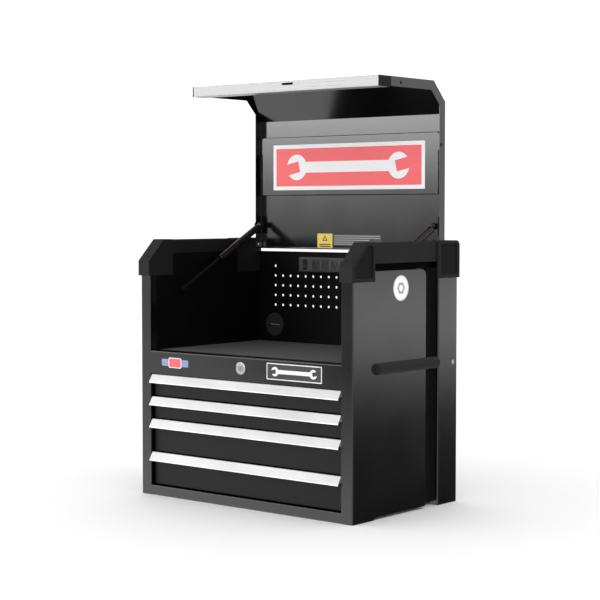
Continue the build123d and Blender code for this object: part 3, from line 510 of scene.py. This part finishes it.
def side_films():
    """Painted shade: a dark matt film in the recess around each side plateau, and darker films in
    the recesses of the corner caps, standing in for the shade in those recesses.
    """
    plateau_step = 22 * MM
    rear_cap_wall = 4 * MM
    rear_post = 78.5 * MM
    plateau_below_rail = 16 * MM
    film_behind_rail = 8 * MM
    cap_recess_depth = 3 * MM
    bevel_margin = 2.6 * MM
    thick = 0.3 * MM
    panel_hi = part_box("right_side_panel")[1]
    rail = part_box("top_rails")[0]
    front_lo, front_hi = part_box("front_corner_caps")
    rear_lo, rear_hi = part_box("rear_corner_caps")
    front = front_lo.y
    recess_x = panel_hi.x - plateau_step
    post_front = rear_hi.y - rear_cap_wall - rear_post
    top = rail.z + film_behind_rail
    plateau_top = rail.z - plateau_below_rail
    cap_shade_x = front_hi.x - cap_recess_depth
    rim = 9 * MM
    bevel = 52 * MM
    crest = front_hi.z - rim
    heel = front_lo.z + rim
    stop = front_hi.y - rim
    front_cap_shade_outline = [(front + rim, heel), (stop, heel), (stop, crest),
                   (front + bevel + bevel_margin, crest),
                   (front + rim, front_hi.z - bevel - bevel_margin)]
    back_rim = 13 * MM
    rear_cap_shade_outline = [(rear_lo.y + back_rim, heel), (rear_hi.y - back_rim, heel),
                  (rear_hi.y - back_rim, crest), (rear_lo.y + back_rim, crest)]
    strip_front = front + 8 * MM
    strip = [(strip_front, plateau_top), (post_front, plateau_top),
             (post_front, top), (strip_front, top)]
    for side, word in ((-1, "left"), (1, "right")):
        # painted shade films: the side recess strip and the corner cap recesses
        flat_piece(f"{word}_recess_shade_film", strip, recess_x, thick, side, RECESS_SHADE_FILM)
        flat_piece(f"{word}_front_cap_recess_shade", front_cap_shade_outline, cap_shade_x, thick, side, CAP_RECESS_SHADE)
        flat_piece(f"{word}_rear_cap_recess_shade", rear_cap_shade_outline, cap_shade_x, thick, side, CAP_RECESS_SHADE)


def lock_face():
    """Painted shade: a black ring for the shade in the gap around the key plug, and a black key
    slot for the shade inside it.
    """
    lo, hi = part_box("lock_plug")
    middle = (lo + hi) / 2
    place = facing(Vector((0, lo.y, middle.z)), FRONT)
    shape = bmesh.new()
    ring(shape, polygon(40, 6.0 * MM), polygon(40, 4.9 * MM), 0, 0.05 * MM)
    raised(shape, rounded_outline(2.6 * MM, 7.0 * MM, 0.8 * MM), 0, 0.05 * MM)
    piece("lock_plug_gap_shade", shape, place, PRINTS["black"], "lock")


def tray_mat():
    """Foam mat on the tray floor, from the fascia flange back to the rear wall."""
    lo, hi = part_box("tray_floor")
    inset = 0.5 * MM
    shape = bmesh.new()
    outline = rounded_outline(hi.x - lo.x - 2 * inset, hi.y - lo.y - 2 * inset, 2 * MM)
    raised(shape, outline, 0, 0.9 * MM, 0.3 * MM)
    place = Matrix.Translation(((lo.x + hi.x) / 2, (lo.y + hi.y) / 2, hi.z))
    piece("tray_mat", shape, place, TRAY_MAT, "chest")


def grommet_flaps():
    """Two rubber flaps that close the grommet slit but for a line."""
    lo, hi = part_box("cable_grommet")
    place = facing((lo + hi) / 2, FRONT)
    shape = bmesh.new()
    flap = rounded_outline(38.4 * MM, 3.0 * MM, 0.2 * MM)
    for side in (-1, 1):
        shifted = [point + Vector((0, side * 1.62 * MM)) for point in flap]
        raised(shape, shifted, -0.5 * MM, 0.5 * MM)
    piece("grommet_flaps", shape, place, FINISHES["grommet_rubber"], "chest")


lid_sign()
fascia_badge()
fascia_sticker()
lid_notices()
side_sticker()
liners()
side_films()
lock_face()
tray_mat()
grommet_flaps()


# ---- stage --------------------------------------------------------------------------------
def build_floor():
    shape = bmesh.new()
    raised(shape, polygon(96, FLOOR_RADIUS), -0.02, 0)
    mesh = bpy.data.meshes.new("floor")
    shape.to_mesh(mesh)
    shape.free()
    pale = (0.90, 0.90, 0.90)
    mesh.materials.append(finish("pale_floor", pale, (0.92, 0.92, 0.92), (0.7, 0.8), grain=40.0,
                                 relief=0.01 * MM, edge=0.1 * MM, blotch=0.5))
    floor = bpy.data.objects.new("floor", mesh)
    bpy.context.scene.collection.objects.link(floor)
    floor.visible_glossy = False


class Sky(Graph):
    """Shader nodes of the surroundings; brightness is worked out from the view direction."""

    def __init__(self, name):
        self.world = bpy.data.worlds.new(name)
        self.world.use_nodes = True
        self.nodes = self.world.node_tree.nodes
        self.links = self.world.node_tree.links
        self.nodes.clear()
        self.direction = self.nodes.new("ShaderNodeTexCoord").outputs["Generated"]
        split = self.nodes.new("ShaderNodeSeparateXYZ")
        self.links.new(self.direction, split.inputs[0])
        self.height = split.outputs["Z"]
        level = self.vector("MULTIPLY", self.direction, (1, 1, 0))
        self.heading = self.vector("NORMALIZE", level.outputs["Vector"], None)

    def vector(self, operation, first, second):
        made = self.nodes.new("ShaderNodeVectorMath")
        made.operation = operation
        self.links.new(first, made.inputs[0])
        if second:
            made.inputs[1].default_value = second
        return made

    def around(self, heading, start, end):
        """1 near a compass heading, 0 away from it; start and end are angles in degrees."""
        dot = self.vector("DOT_PRODUCT", self.heading.outputs["Vector"],
                          Vector(heading).normalized())
        made = self.nodes.new("ShaderNodeMapRange")
        made.interpolation_type = "SMOOTHSTEP"
        self.links.new(dot.outputs["Value"], made.inputs["Value"])
        made.inputs["From Min"].default_value = math.cos(math.radians(end))
        made.inputs["From Max"].default_value = math.cos(math.radians(start))
        return made.outputs["Result"]

    def profile(self, stops):
        """Brightness by elevation; each stop is degrees above the horizon and brightness."""
        strongest = max(level for _, level in stops)
        place = self.nodes.new("ShaderNodeMapRange")
        self.links.new(self.height, place.inputs["Value"])
        place.inputs["From Min"].default_value = -1.0
        ramp = self.nodes.new("ShaderNodeValToRGB")
        self.links.new(place.outputs["Result"], ramp.inputs["Fac"])
        elements = ramp.color_ramp.elements
        while len(elements) < len(stops):
            elements.new(0.5)
        for element, (angle, level) in zip(elements, stops):
            share = level / strongest
            element.position = (math.sin(math.radians(angle)) + 1) / 2
            element.color = (share, share, share, 1)
        return self.math("MULTIPLY", ramp.outputs["Color"], strongest)

    def mix(self, factor, first, second):
        """first where factor is 0, second where it is 1."""
        change = self.math("SUBTRACT", second, first)
        return self.math("ADD", first, self.math("MULTIPLY", factor, change))


def build_world():
    """White surroundings. Reflections see a studio instead: a low soft box and a dark card at
    the left front, a light wall above a dark floor at the right rear."""
    sky = Sky("studio")
    bpy.context.scene.world = sky.world
    front = sky.profile(FRONT_STOPS)
    rear = sky.profile(REAR_STOPS)
    level = sky.mix(sky.around((-0.70, -0.70, 0), 41, 62), OPEN_LEVEL, front)
    level = sky.mix(sky.around((0.64, 0.77, 0), 30, 52), level, rear)
    dark = sky.math("MULTIPLY", sky.around(DARK_HEADING, 10.8, 15), sky.profile(DARK_STOPS))
    level = sky.math("MULTIPLY", level, sky.mix(dark, 1.0, 0.06))
    studio = sky.nodes.new("ShaderNodeBackground")
    sky.links.new(level, studio.inputs["Strength"])
    plain = sky.nodes.new("ShaderNodeBackground")
    plain.inputs["Strength"].default_value = 1.2
    for background in (studio, plain):
        background.inputs["Color"].default_value = (1, 1, 1, 1)
    ray = sky.nodes.new("ShaderNodeLightPath")
    mix = sky.nodes.new("ShaderNodeMixShader")
    sky.links.new(ray.outputs["Is Glossy Ray"], mix.inputs[0])
    sky.links.new(plain.outputs[0], mix.inputs[1])
    sky.links.new(studio.outputs[0], mix.inputs[2])
    out = sky.nodes.new("ShaderNodeOutputWorld")
    sky.links.new(mix.outputs[0], out.inputs["Surface"])


def build_light():
    light = bpy.data.lights.new("soft_key", "AREA")
    light.shape = "RECTANGLE"
    light.size = 2.4
    light.size_y = 1.6
    light.energy = 7
    lamp = bpy.data.objects.new("soft_key", light)
    lamp.location = (-1.9, -2.2, 2.6)
    lamp.rotation_euler = (Vector((0, 0, 0.5)) - lamp.location).to_track_quat("-Z", "Y").to_euler()
    lamp.visible_glossy = False
    bpy.context.scene.collection.objects.link(lamp)


def build_camera():
    camera = bpy.data.cameras.new("camera")
    camera.lens = CAMERA_LENS
    camera.sensor_width = SENSOR_WIDTH
    camera.clip_end = 200
    holder = bpy.data.objects.new("camera", camera)
    holder.location = CAMERA_PLACE
    holder.rotation_euler = (math.radians(90 - CAMERA_DIP), 0, math.radians(CAMERA_HEADING))
    bpy.context.scene.collection.objects.link(holder)
    bpy.context.scene.camera = holder


build_floor()
build_world()
build_light()
build_camera()
bpy.context.scene.view_settings.view_transform = "Standard"
